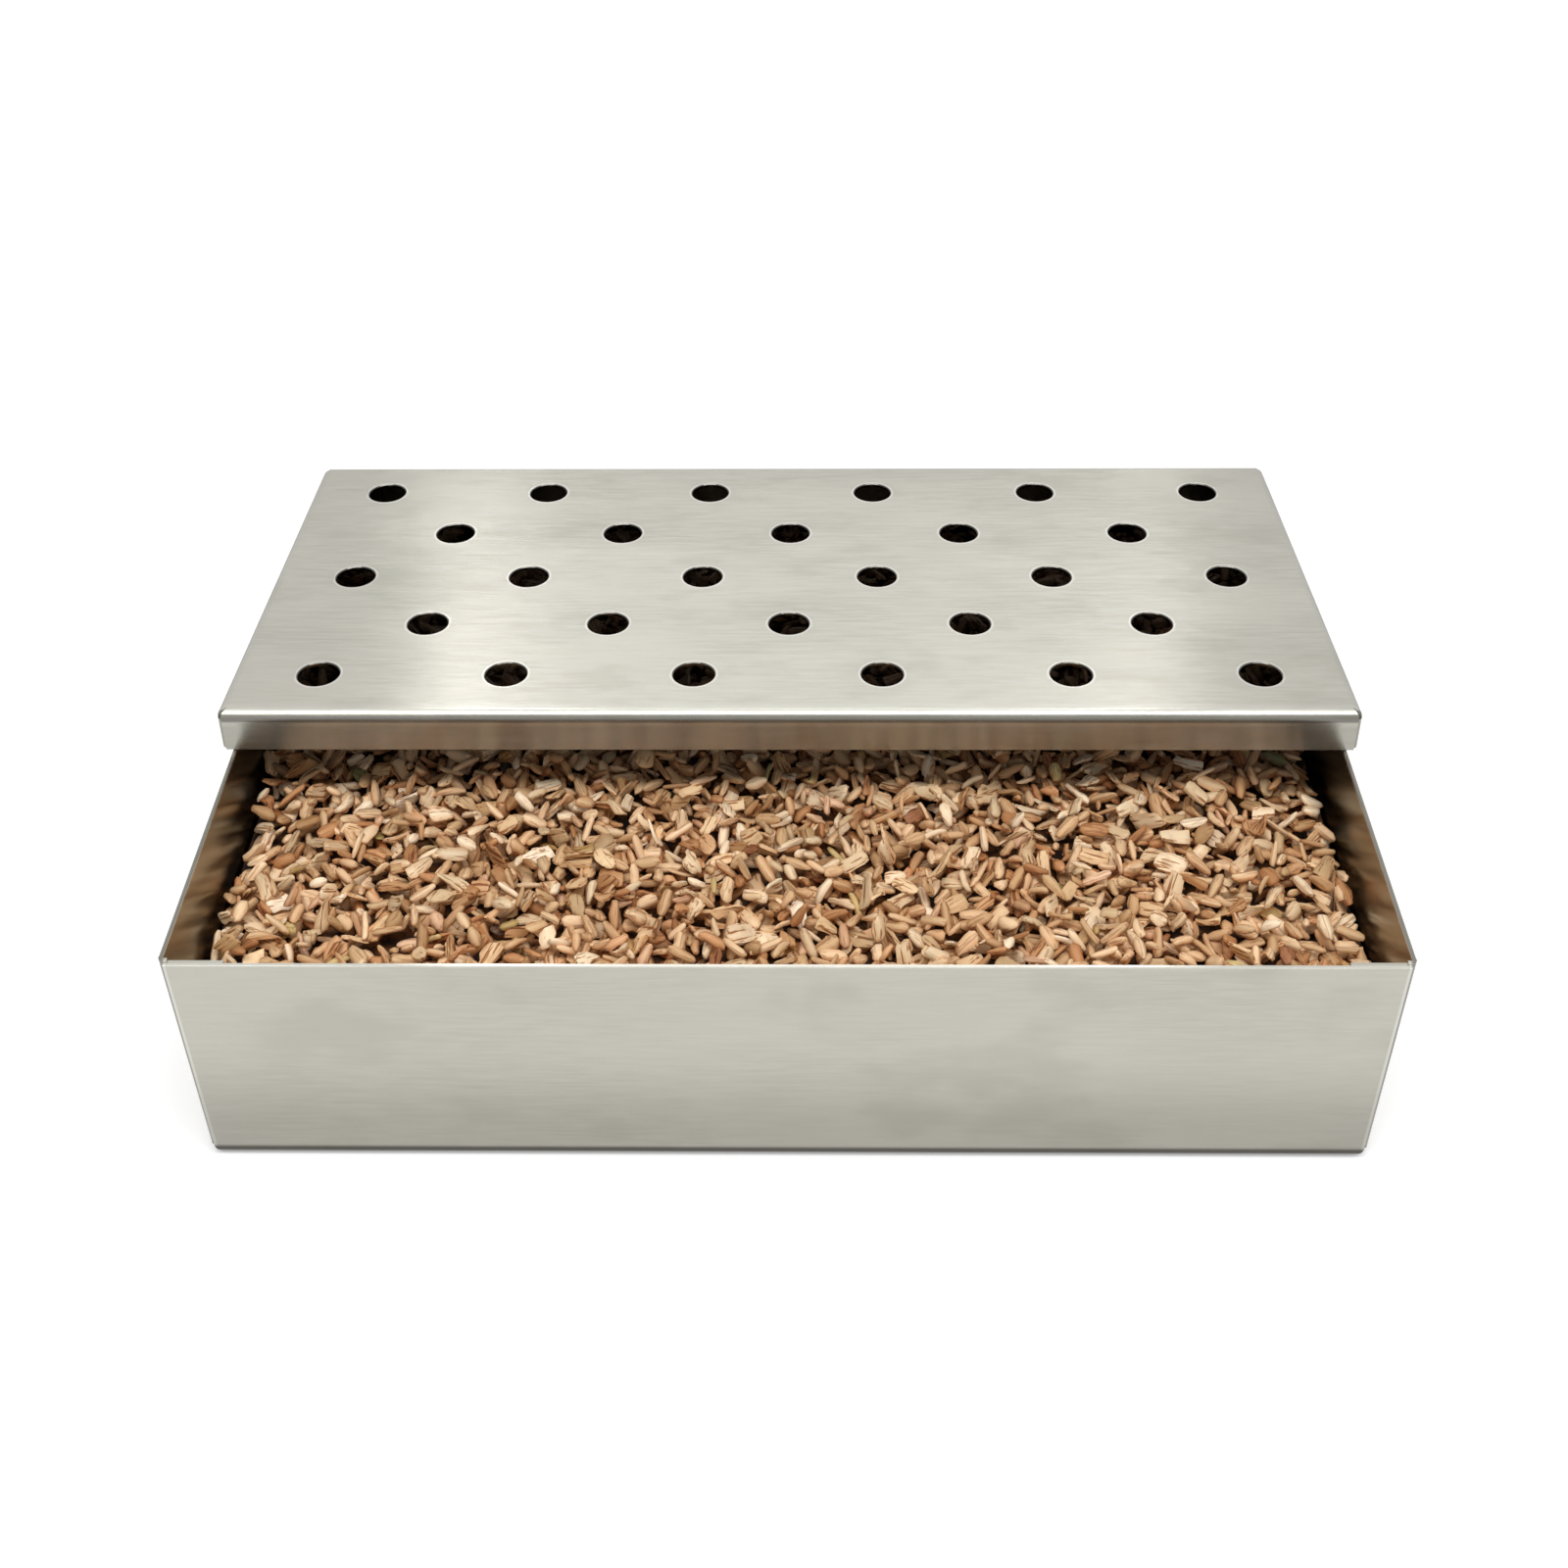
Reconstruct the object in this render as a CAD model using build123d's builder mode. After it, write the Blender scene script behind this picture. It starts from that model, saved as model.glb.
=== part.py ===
from build123d import *
import math
import os
import random

# Smoker box for wood chips: a stainless-steel tray with a loose perforated cover over its
# rear part. Tray and cover are each folded from one blank of sheet: the long walls stand
# outermost, and the side walls' ends turn in behind them as tabs, which are spot-welded.
# Millimetres, +X to the right, +Y to the rear, +Z up. The origin is the middle of the
# tray's base, on the surface that the box stands on.

# Sheet and folds
sheet = 0.8
base_bend = 2.0  # outer radius of the folds along the tray's base and the lid's top
corner_bend = 1.1  # outer radius of the upright folds at the corners
tab_length = 12.0  # how far a corner tab reaches along the wall that it is welded to
tab_relief = 0.6  # how much a tab stops short of the wall's free edge
edge_break = 0.15  # deburred cut edges
hole_break = 0.2  # the rounder edge that punching leaves on the lid's holes

# Tray
tray_width = 230.0
tray_depth = 163.0
tray_height = 55.2
tray_corner = 3.0  # rounded corners of the long walls, beside the base
long_wall_drop = 0.3  # the front and rear walls end this much under the side walls

# Lid
lid_depth = 106.4
lid_height = 9.3
lid_corner = 1.2
side_clearance = 1.6  # between a side wall and the lid's side skirt
end_clearance = 0.4  # between the rear wall and the tabs of the lid's rear skirt
rest_gap = 0.05  # at each place where the lid rests on the tray's rim
hole_diameter = 8.8
hole_pitch = 39.6
row_pitch = 19.6
hole_margin = 11.0  # least distance from the middle of a hole to the lid's edge
pattern_shift = 0.2  # the hole pattern sits this much behind the lid's middle

# Wood chips
bed_drop = 21.0  # from the side walls' rim down to the packed bed
bed_gap = 0.6  # between the bed and the steel round it
chip_gap = 0.15
chip_lean = 14.0  # most that a chip leans, in degrees
chip_draft = 14.0
sliver = (9.0, 2.3, 1.3)  # length, width and thickness
grain = (6.6, 2.7, 1.5)
flake = (6.0, 4.0, 1.1)
bark = (6.4, 3.2, 1.2)
leaf = (7.0, 3.2, 0.5)
chip_kinds = {  # each kind's size, and how often one is thrown
    "leaf_bits": (leaf, 9),
    "bark_flakes": (bark, 26),
    "wood_flakes": (flake, 60),
    "wood_slivers": (sliver, 170),
    "wood_grains": (grain, 330),
}

lid_width = tray_width + 2 * (side_clearance + sheet)
rim = tray_height
bed_top = rim - bed_drop


def channel(plane, span, rise):
    """A thin channel section: a floor and two upright walls, rounded where they meet."""
    with BuildSketch(plane) as section:
        with Locations((0, rise)):
            RectangleRounded(span, 2 * rise, base_bend)
            RectangleRounded(
                span - 2 * sheet, 2 * (rise - sheet), base_bend - sheet, mode=Mode.SUBTRACT
            )
        with Locations((0, 2 * rise)):
            Rectangle(2 * span, 2 * rise, mode=Mode.SUBTRACT)
        chamfer(section.vertices().group_by(Axis.Y)[-1], edge_break)
    return section.sketch


def folded_pan(width, depth, height, long_drop, corner):
    """An open pan folded from one blank, standing on the XY plane."""
    inner_depth = depth - 2 * sheet
    long_section = channel(Plane.YZ, depth, height - long_drop)
    side_section = channel(Plane.XZ, width, height)
    with BuildPart() as pan:
        # The long walls and the floor between them, with the walls' lower corners rounded.
        extrude(long_section, width / 2 - corner_bend, both=True)
        with BuildSketch(Plane.XZ):
            with Locations((0, height / 2)):
                Rectangle(2 * width, 2 * height)
                RectangleRounded(width - 2 * corner_bend, height, corner, mode=Mode.SUBTRACT)
            with Locations((0, height)):
                Rectangle(2 * width, height, mode=Mode.SUBTRACT)
        extrude(amount=depth, both=True, mode=Mode.SUBTRACT)
        # The side walls, folded up from the same floor.
        extrude(side_section, inner_depth / 2 - corner_bend, both=True)
        # The side walls' ends, folded round the corners and turned in behind the long walls.
        fold_reach = corner_bend + tab_relief
        for reach, top in ((fold_reach, height), (tab_length, height - tab_relief)):
            with BuildSketch(Plane.XY.offset(base_bend)):
                RectangleRounded(width, inner_depth, corner_bend)
                RectangleRounded(
                    width - 2 * sheet,
                    inner_depth - 2 * sheet,
                    corner_bend - sheet,
                    mode=Mode.SUBTRACT,
                )
                Rectangle(width - 2 * reach, depth, mode=Mode.SUBTRACT)
                Rectangle(2 * width, inner_depth - 2 * corner_bend, mode=Mode.SUBTRACT)
            extrude(amount=top - base_bend)
    return pan.part


def lid_seat():
    """The plane of the lid's top: its origin is the middle of the top's front edge.

    The lid's front skirt stands across the side walls' rims, with its folded corners outside
    them unless the side clearance is small. Its top lies on the rear ends of the same rims,
    and its rear skirt hangs outside the rear wall. The lean and the distance between the two
    supports depend on each other, so they are refined in turn.
    """
    corner_crosses = corner_bend + tab_relief > side_clearance + sheet
    front_foot = sheet + corner_bend if corner_crosses else sheet
    rise = lid_height - sheet
    tab_face = lid_depth - 2 * sheet
    lean = 0
    for _ in range(6):
        slack = rise * math.tan(lean) + (end_clearance + sheet) / math.cos(lean)
        lean = math.atan2(rise, tab_face - slack - front_foot)
    up = Vector(0, math.sin(lean), math.cos(lean))
    back = Vector(0, math.cos(lean), -math.sin(lean))
    tab_foot = back * tab_face - up * lid_height
    skirt_foot = back * front_foot - up * lid_height
    place = Vector(0, tray_depth / 2 + end_clearance - tab_foot.Y, rim + rest_gap - skirt_foot.Z)
    return Plane(origin=place, x_dir=(1, 0, 0), z_dir=up)


# The tray.
tray_pan = folded_pan(tray_width, tray_depth, tray_height, long_wall_drop, tray_corner)
with BuildPart() as tray:
    add(tray_pan)
tray.part.label = "tray"

# The lid is the same kind of pan turned over, with staggered rows of smoke holes: every
# second row is one hole shorter.
lid_front = lid_seat()
lid_middle = lid_front.from_local_coords(Vector(0, lid_depth / 2, 0))
lid_top = Plane(origin=lid_middle, x_dir=(1, 0, 0), z_dir=lid_front.z_dir)
lid_over = Plane(origin=lid_middle, x_dir=(1, 0, 0), z_dir=-lid_front.z_dir)
lid_pan = lid_over * folded_pan(lid_width, lid_depth, lid_height, 0, lid_corner)
columns = int((lid_width - 2 * hole_margin) / hole_pitch) + 1
rows = int((lid_depth - 2 * hole_margin) / row_pitch) + 1
with BuildPart() as lid:
    add(lid_pan)
    with Locations(lid_top):
        for row in range(rows):
            row_place = pattern_shift + (row - (rows - 1) / 2) * row_pitch
            with Locations((0, row_place)):
                with GridLocations(hole_pitch, row_pitch, columns - row % 2, 1):
                    CounterSinkHole(
                        radius=hole_diameter / 2,
                        counter_sink_radius=hole_diameter / 2 + hole_break,
                        counter_sink_angle=90,
                    )
lid.part.label = "lid"

# The packed wood chips under the loose ones, as one block that fills the tray.
bed_width = tray_width - 2 * (sheet + bed_gap)
bed_depth = tray_depth - 2 * (2 * sheet + bed_gap)
with BuildPart() as chip_bed:
    with BuildSketch(Plane.XY.offset(sheet)):
        Rectangle(bed_width, bed_depth)
    extrude(amount=bed_top - sheet)
    chamfer(chip_bed.faces().sort_by(Axis.Z)[0].edges(), base_bend)
chip_bed.part.label = "chip_bed"


# The loose chips lie scattered over the bed. Each leans a little and stands on its lowest
# corner. Three discs along a chip's middle line keep it clear of the others.
def chip_outline(length, width):
    """A splinter seen from above: a long six-sided shape with pointed ends."""
    shoulder = length / 2 - width / 2
    return [
        (-length / 2, 0),
        (-shoulder, -width / 2),
        (shoulder, -width / 2),
        (length / 2, 0),
        (shoulder, width / 2),
        (-shoulder, width / 2),
    ]


def seat_on_bed(x, y, turns, outline):
    """The plane of a chip that is turned so, with its lowest corner on the chip bed."""
    turned = Plane(Location((x, y, 0), turns))
    lowest = min(turned.from_local_coords(Vector(*corner, 0)).Z for corner in outline)
    return Plane(Location((x, y, bed_top - lowest), turns))


def scatter(dice, throws, taken_discs, size):
    """Planes for chips of one size, thrown at random and kept where nothing lies yet."""
    length, width, thickness = size
    reach = length / 2 + thickness
    step = length / 3
    radius = math.hypot(step, width) / 2 + chip_gap
    seats = []
    for _ in range(round(throws)):
        x = dice.uniform(reach - bed_width / 2, bed_width / 2 - reach)
        y = dice.uniform(reach - bed_depth / 2, bed_depth / 2 - reach)
        turn = dice.uniform(0, 360)
        along = (step * math.cos(math.radians(turn)), step * math.sin(math.radians(turn)))
        discs = [(x + k * along[0], y + k * along[1], radius) for k in (-1, 0, 1)]
        clear = all(
            math.hypot(disc[0] - other[0], disc[1] - other[1]) > disc[2] + other[2]
            for disc in discs
            for other in taken_discs
        )
        if clear:
            taken_discs.extend(discs)
            leans = [dice.uniform(-chip_lean, chip_lean) for _ in range(2)]
            seats.append(seat_on_bed(x, y, (*leans, turn), chip_outline(length, width)))
    return seats


def chip_group(seats, size):
    """Loose chips of one size, each a separate solid with slightly drafted sides."""
    length, width, thickness = size
    with BuildPart() as group:
        with BuildSketch(*seats):
            Polygon(*chip_outline(length, width), align=None)
        extrude(amount=thickness, taper=chip_draft)
    return group.part


pieces = [tray.part, lid.part, chip_bed.part]
dice = random.Random(5)
taken_discs = []
for name, (size, throws) in chip_kinds.items():
    group = chip_group(scatter(dice, throws, taken_discs, size), size)
    group.label = name
    pieces.append(group)

os.makedirs("parts", exist_ok=True)
for piece in pieces:
    export_step(piece, f"parts/{piece.label}.step")
    print(piece.label, len(piece.solids()))
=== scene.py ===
import math

import bpy
import numpy as np
from mathutils import Matrix, Vector


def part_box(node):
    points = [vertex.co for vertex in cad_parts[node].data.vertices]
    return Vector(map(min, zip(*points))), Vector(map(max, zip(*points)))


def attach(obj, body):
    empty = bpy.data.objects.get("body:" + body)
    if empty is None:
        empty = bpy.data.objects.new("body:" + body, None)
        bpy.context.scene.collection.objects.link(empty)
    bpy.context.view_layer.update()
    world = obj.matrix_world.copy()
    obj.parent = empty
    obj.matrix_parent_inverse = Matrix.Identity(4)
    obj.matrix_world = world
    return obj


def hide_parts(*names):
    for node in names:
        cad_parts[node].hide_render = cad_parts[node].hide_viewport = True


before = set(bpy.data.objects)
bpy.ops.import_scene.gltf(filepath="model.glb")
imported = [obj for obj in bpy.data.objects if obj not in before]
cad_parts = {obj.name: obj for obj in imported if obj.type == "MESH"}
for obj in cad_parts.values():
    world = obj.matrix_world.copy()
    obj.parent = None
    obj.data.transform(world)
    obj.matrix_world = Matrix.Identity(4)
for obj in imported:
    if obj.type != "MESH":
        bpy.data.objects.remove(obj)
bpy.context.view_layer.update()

# A folded stainless-steel smoker box: an open tray of wood chips, with a loose perforated
# lid over its rear part. Metres, +X to the right, +Y to the rear, +Z up, and the origin is
# the middle of the tray's base, on the surface that it stands on.

MM = 0.001
tray_low, tray_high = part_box("tray")
bed_low, bed_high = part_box("chip_bed")
lid_low, lid_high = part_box("lid")

SHEET = 0.8 * MM
FOLD = 2.0 * MM  # outer radius of the bends

# The lid lies tilted to the rear. Its own axes start at the middle of its top's front edge.
LID_SKIRT = 9.3 * MM
LID_DEPTH = 106.4 * MM
LID_TILT = math.radians(4.76)
HOLE_RADIUS = 4.4 * MM
HOLE_PITCH = 39.6 * MM
ROW_PITCH = 19.6 * MM
PATTERN_MIDDLE = LID_DEPTH / 2 + 0.2 * MM  # from the front edge to the middle row of holes
lid_back = Vector((0, math.cos(LID_TILT), -math.sin(LID_TILT)))
lid_up = Vector((0, math.sin(LID_TILT), math.cos(LID_TILT)))
lid_front = Vector((0, lid_low.y + LID_SKIRT * lid_up.y, lid_high.z + FOLD * lid_up.y))


# Shader building

class Shader:
    """One node tree under construction: each method adds nodes and returns what they give."""

    def __init__(self, tree):
        self.tree = tree

    def feed(self, socket, value):
        """Links a value that comes out of a node to the socket, or sets the socket to it."""
        if isinstance(value, bpy.types.NodeSocket):
            self.tree.links.new(value, socket)
        else:
            socket.default_value = value

    def node(self, kind, **settings):
        """A new node with its properties set, and its sockets fed by name or number."""
        made = self.tree.nodes.new(kind)
        sockets = settings.pop("inputs", {})
        for name, value in settings.items():
            setattr(made, name, value)
        for name, value in sockets.items():
            self.feed(made.inputs[name], value)
        return made

    def math(self, operation, a, b=0.0, c=0.0):
        """One operation on up to three numbers."""
        made = self.node("ShaderNodeMath", operation=operation, inputs={0: a, 1: b, 2: c})
        return made.outputs[0]

    def product(self, first, *rest):
        """All the numbers multiplied."""
        for value in rest:
            first = self.math("MULTIPLY", first, value)
        return first

    def most(self, first, *rest):
        """The greatest of the numbers."""
        for value in rest:
            first = self.math("MAXIMUM", first, value)
        return first

    def root_of_squares(self, a, b):
        """The root of a squared plus b squared."""
        return self.math("SQRT", self.math("ADD", self.product(a, a), self.product(b, b)))

    def ramp(self, value, low, high, start=0.0, end=1.0):
        """A smooth step from start, where the value is low, to end, where it is high."""
        made = self.node(
            "ShaderNodeMapRange",
            interpolation_type="SMOOTHSTEP",
            inputs={"Value": value, "From Min": low, "From Max": high, "To Min": start, "To Max": end},
        )
        return made.outputs["Result"]

    def place(self):
        """The place that is shaded, in the object's own coordinates."""
        return self.node("ShaderNodeTexCoord").outputs["Object"]

    def parts(self, vector):
        """A vector's X, Y and Z, by name."""
        return self.node("ShaderNodeSeparateXYZ", inputs={0: vector}).outputs

    def scaled(self, vector, factors):
        """A vector times a fixed factor for each axis."""
        made = self.node("ShaderNodeVectorMath", operation="MULTIPLY", inputs={0: vector, 1: factors})
        return made.outputs[0]

    def along(self, place, start, axis):
        """How far a place is from a start point, measured along an axis."""
        offset = self.node("ShaderNodeVectorMath", operation="SUBTRACT", inputs={0: place, 1: start})
        run = self.node(
            "ShaderNodeVectorMath",
            operation="DOT_PRODUCT",
            inputs={0: offset.outputs[0], 1: axis},
        )
        return run.outputs["Value"]

    def noise(self, vector, scale=1.0, detail=2.0, roughness=0.5):
        """Smooth noise, mostly between 0.3 and 0.7."""
        made = self.node(
            "ShaderNodeTexNoise",
            inputs={"Vector": vector, "Scale": scale, "Detail": detail, "Roughness": roughness},
        )
        return made.outputs["Fac"]

    def tint(self, factor, a, b, blend="MIX"):
        """Colour a where the factor is 0, and blended with colour b where it is 1."""
        made = self.node("ShaderNodeMix", data_type="RGBA", blend_type=blend)
        inputs = {socket.identifier: socket for socket in made.inputs}
        self.feed(inputs["Factor_Float"], factor)
        self.feed(inputs["A_Color"], a)
        self.feed(inputs["B_Color"], b)
        return next(socket for socket in made.outputs if socket.identifier == "Result_Color")

    def bump(self, height, strength, distance, **over):
        """A normal that leans with the height, over an earlier Normal if one is given."""
        sockets = {"Height": height, "Strength": strength, "Distance": distance, **over}
        return self.node("ShaderNodeBump", inputs=sockets).outputs[0]

    def surface(self, shader):
        """Makes a shader node's result the material's surface."""
        self.node("ShaderNodeOutputMaterial", inputs={"Surface": shader.outputs[0]})


def new_material(name):
    """An empty node material and the builder of its tree."""
    made = bpy.data.materials.new(name)
    made.use_nodes = True
    made.node_tree.nodes.clear()
    return made, Shader(made.node_tree)


def new_group(name, inputs, outputs):
    """A node group of number sockets: the builder of its tree, its inputs and its outputs.

    The inputs are given with their usual values.
    """
    tree = bpy.data.node_groups.new(name, "ShaderNodeTree")
    for label, value in inputs.items():
        socket = tree.interface.new_socket(label, in_out="INPUT", socket_type="NodeSocketFloat")
        socket.default_value = value
    for label in outputs:
        tree.interface.new_socket(label, in_out="OUTPUT", socket_type="NodeSocketFloat")
    s = Shader(tree)
    return s, s.node("NodeGroupInput").outputs, s.node("NodeGroupOutput").inputs


# Shared effects

SIDEWAYS = 0.72  # a normal's X above which a face counts as part of a side wall
STREAKS_PER_METRE = 1000.0
STREAK_SQUEEZE = (0.12, 1.0, 1.0)  # X is shortened, which draws the streaks out along it
PATCH_SQUEEZE = (0.7, 1.3, 1.3)
WAVES_PER_PATCH = 2.6


def brushed_grain_group():
    """Fine brushing: noise drawn out along X, and up Z on the side walls, where the sheet turns up.

    Line is the noise of the place with X (on a side wall Z) divided by the stretch. Streak is
    a coarser noise drawn out along X alone.
    """
    s, given, results = new_group(
        "brushed_grain",
        {"Lines per Metre": 2000.0, "Line Stretch": 26.0},
        ["Line", "Streak"],
    )
    place = s.place()
    xyz = s.parts(place)
    normal = s.parts(s.node("ShaderNodeNewGeometry").outputs["Normal"])
    on_side = s.math("GREATER_THAN", s.math("ABSOLUTE", normal["X"]), SIDEWAYS)
    squeeze = s.math("DIVIDE", 1.0, given["Line Stretch"])
    along = s.math("MULTIPLY_ADD", on_side, s.math("SUBTRACT", 1.0, squeeze), squeeze)
    upward = s.math("MULTIPLY_ADD", on_side, s.math("SUBTRACT", squeeze, 1.0), 1.0)
    drawn = s.node(
        "ShaderNodeCombineXYZ",
        inputs={
            "X": s.math("MULTIPLY", xyz["X"], along),
            "Y": xyz["Y"],
            "Z": s.math("MULTIPLY", xyz["Z"], upward),
        },
    )
    fine = s.node(
        "ShaderNodeVectorMath",
        operation="SCALE",
        inputs={0: drawn.outputs[0], "Scale": given["Lines per Metre"]},
    )
    line = s.noise(fine.outputs[0], detail=3.0, roughness=0.62)
    streak = s.noise(s.scaled(place, STREAK_SQUEEZE), STREAKS_PER_METRE, 3.0, 0.6)
    s.feed(results["Line"], line)
    s.feed(results["Streak"], streak)
    return s.tree


def cloud_group():
    """Soft uneven patches, as on handled sheet: noise of two sizes, a little drawn out along X."""
    s, given, results = new_group(
        "handled_sheet",
        {"Patches per Metre": 22.0},
        ["Cloud", "Wave"],
    )
    place = s.scaled(s.place(), PATCH_SQUEEZE)
    patches = given["Patches per Metre"]
    waves = s.math("MULTIPLY", patches, WAVES_PER_PATCH)
    s.feed(results["Cloud"], s.noise(place, patches, 3.0, 0.55))
    s.feed(results["Wave"], s.noise(place, waves, 3.0, 0.55))
    return s.tree


GRAIN = brushed_grain_group()
CLOUD = cloud_group()


# Steel

def inset(s, nearest, below):
    """How deep a place lies under the outer skin of a folded pan, round whose bends the skin runs.

    With p and q the amounts by which the distances from the nearest wall and from the top or
    base fall short of the bend's radius, it is that radius less the root of p squared plus q
    squared.
    """
    p = s.math("MAXIMUM", s.math("SUBTRACT", FOLD, nearest), 0.0)
    q = s.math("MAXIMUM", s.math("SUBTRACT", FOLD, below), 0.0)
    return s.math("SUBTRACT", FOLD, s.root_of_squares(p, q))


def from_tray_walls(s, xyz):
    """How far a place is in from the tray's outer size, sideways and towards front or rear."""
    from_side = s.math("SUBTRACT", tray_high.x, s.math("ABSOLUTE", xyz["X"]))
    from_end = s.math("SUBTRACT", tray_high.y, s.math("ABSOLUTE", xyz["Y"]))
    return from_side, from_end


def tray_painted_shade(s):
    """How much darker the tray's steel is, from 0 to 1.

    It is darker inside, and painted shade darkens it most of all under the lid. The corner
    seams get painted shade, the side walls' cut edges are darker, and painted shade from the
    floor's reflection darkens it towards its base, most of all at its foot.
    """
    xyz = s.parts(s.place())
    from_side, from_end = from_tray_walls(s, xyz)
    rim = tray_high.z
    skin = inset(s, s.math("MINIMUM", from_side, from_end), xyz["Z"])
    # Painted shade: darker inside, and darkest under the lid, where the lid shadows it
    inside = s.product(
        s.ramp(skin, 0.4 * SHEET, 0.7 * SHEET),
        s.ramp(xyz["Z"], rim - 0.8 * MM, rim - 0.4 * MM, 1.0, 0.0),
    )
    under_lid = s.ramp(xyz["Y"], lid_low.y - 22 * MM, lid_low.y + 5 * MM)
    inside_shade = s.product(inside, s.math("MULTIPLY_ADD", under_lid, 0.52, 0.22))
    # Painted shade in the corner folds
    seam = s.product(
        s.ramp(from_side, 1.05 * MM, 1.2 * MM, 1.0, 0.0),
        s.ramp(from_end, 1.6 * MM, 2.2 * MM, 1.0, 0.0),
        0.5,
    )
    side_rims = s.product(
        s.ramp(from_side, 0.95 * SHEET, 1.05 * SHEET, 0.6, 0.0),
        s.ramp(xyz["Z"], rim - 0.14 * MM, rim - 0.05 * MM),
    )
    # Painted shade: darker towards the base, where the walls reflect the shadowed floor, and darkest on
    # the base bend
    low_wall_shade = s.ramp(xyz["Z"], 7 * MM, 34 * MM, 0.30, 0.0)
    foot = s.ramp(xyz["Z"], 2.2 * MM, 3.4 * MM, 0.55, 0.0)
    return s.most(inside_shade, seam, side_rims, s.math("ADD", low_wall_shade, foot))


def tray_painted_highlight(s):
    """How much painted highlight lightens the tray's sheet: the long walls' rims a little, their ends
    fully.
    """
    xyz = s.parts(s.place())
    from_side, from_end = from_tray_walls(s, xyz)
    # Painted highlight along the long walls' rims and ends
    long_walls = s.ramp(from_end, SHEET, 1.15 * SHEET, 1.0, 0.0)
    rim = s.ramp(xyz["Z"], tray_high.z - 0.9 * MM, tray_high.z - 0.6 * MM, 0.0, 0.2)
    end = s.product(
        s.ramp(from_side, 1.05 * MM, 1.15 * MM),
        s.ramp(from_side, 1.5 * MM, 1.8 * MM, 1.0, 0.0),
    )
    return s.product(long_walls, s.most(rim, end))


def from_hole(s, place):
    """How far a place on the lid is from the middle of the nearest hole, in staggered rows.

    A place is set against the nearest row, then against that row's nearest hole: rows with
    six holes have them at odd halves of the pitch, rows with five at whole ones. Beside the
    outermost holes there are no more, so there the distance is made large.
    """
    x = s.parts(place)["X"]
    behind = s.math("SUBTRACT", s.along(place, lid_front, lid_back), PATTERN_MIDDLE)
    rows = s.math("DIVIDE", behind, ROW_PITCH)
    row = s.math("ROUND", rows)
    offset = s.math("MULTIPLY", s.math("SUBTRACT", rows, row), ROW_PITCH)
    shift = s.math("MULTIPLY_ADD", s.math("PINGPONG", row, 1.0), -0.5, 0.5)
    columns = s.math("ADD", s.math("DIVIDE", x, HOLE_PITCH), shift)
    aside = s.math("MULTIPLY", s.math("SUBTRACT", columns, s.math("ROUND", columns)), HOLE_PITCH)
    beyond = s.ramp(s.math("ABSOLUTE", x), 2.62 * HOLE_PITCH, 2.66 * HOLE_PITCH, 0.0, HOLE_PITCH)
    return s.math("ADD", s.root_of_squares(aside, offset), beyond)


def lid_painted_shade(s):
    """How much darker the lid's steel is, from 0 to 1.

    It is painted with shade underneath, in the holes and, a little, towards its rear. Painted
    shade makes its bends and skirt darker than its top, and the long skirts darkest near their
    two ends.
    """
    place = s.place()
    depth = s.along(place, lid_front, lid_back)
    below = s.along(place, lid_front, -lid_up)
    from_side = s.math("SUBTRACT", lid_high.x, s.math("ABSOLUTE", s.parts(place)["X"]))
    from_end = s.math("MINIMUM", depth, s.math("SUBTRACT", LID_DEPTH, depth))
    skin = inset(s, s.math("MINIMUM", from_side, from_end), below)
    # Painted shade under the lid and in its holes
    under = s.product(
        s.ramp(skin, 0.35 * SHEET, 0.55 * SHEET, 0.0, 0.86),
        s.ramp(from_side, 0.95 * SHEET, 1.15 * SHEET, 0.4, 1.0),
    )
    hole_edge = HOLE_RADIUS + 0.19 * MM
    in_holes = s.ramp(from_hole(s, place), hole_edge, hole_edge + 0.05 * MM, 0.80, 0.0)
    # Painted shade on the bends, the skirt and the skirts' ends, and towards the rear
    bends = s.product(
        s.ramp(below, 0.05 * FOLD, 0.45 * FOLD, 0.0, 0.56),
        s.ramp(below, FOLD, 1.3 * FOLD, 1.0, 0.0),
    )
    skirt = s.ramp(below, 1.3 * FOLD, 1.9 * FOLD, 0.0, 0.15)
    skirt_ends = s.product(
        s.ramp(below, FOLD, 1.4 * FOLD, 0.0, 0.26),
        s.ramp(from_side, 3 * MM, 6 * MM),
        s.ramp(from_side, 7 * MM, 18 * MM, 1.0, 0.0),
    )
    rear_shade = s.ramp(depth, 0.55 * LID_DEPTH, LID_DEPTH, 0.0, 0.10)
    return s.most(under, in_holes, bends, skirt, skirt_ends, rear_shade)


def lid_painted_highlight(s):
    """How much painted highlight lightens the lid's steel: round each hole, and half as much on the
    front bend.
    """
    place = s.place()
    # Painted highlights round the holes and on the front bend
    ring = HOLE_RADIUS + 0.45 * MM
    round_holes = s.ramp(from_hole(s, place), ring, ring + 0.4 * MM, 0.7, 0.0)
    front_bend = s.product(
        s.ramp(s.along(place, lid_front, lid_back), 0.6 * FOLD, 2.2 * FOLD, 0.35, 0.0),
        s.ramp(s.along(place, lid_front, -lid_up), 0.2 * FOLD, 0.5 * FOLD, 1.0, 0.0),
    )
    return s.most(round_holes, front_bend)


# Colours of the painted shade and of the painted highlight
PAINTED_SHADE_COLOUR = (0.018, 0.013, 0.009, 1)
PAINTED_HIGHLIGHT_COLOUR = (0.78, 0.77, 0.72, 1)
# The brushed steel's colours, which are multiplied by each piece's own tone
LINE_TONES = (0.458, 0.445, 0.387), (0.504, 0.493, 0.435)
STREAK_TONE = (0.545, 0.533, 0.475)
CLOUD_TONE = (0.540, 0.522, 0.464)
SMUDGE_TONE = (0.405, 0.397, 0.338)


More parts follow.
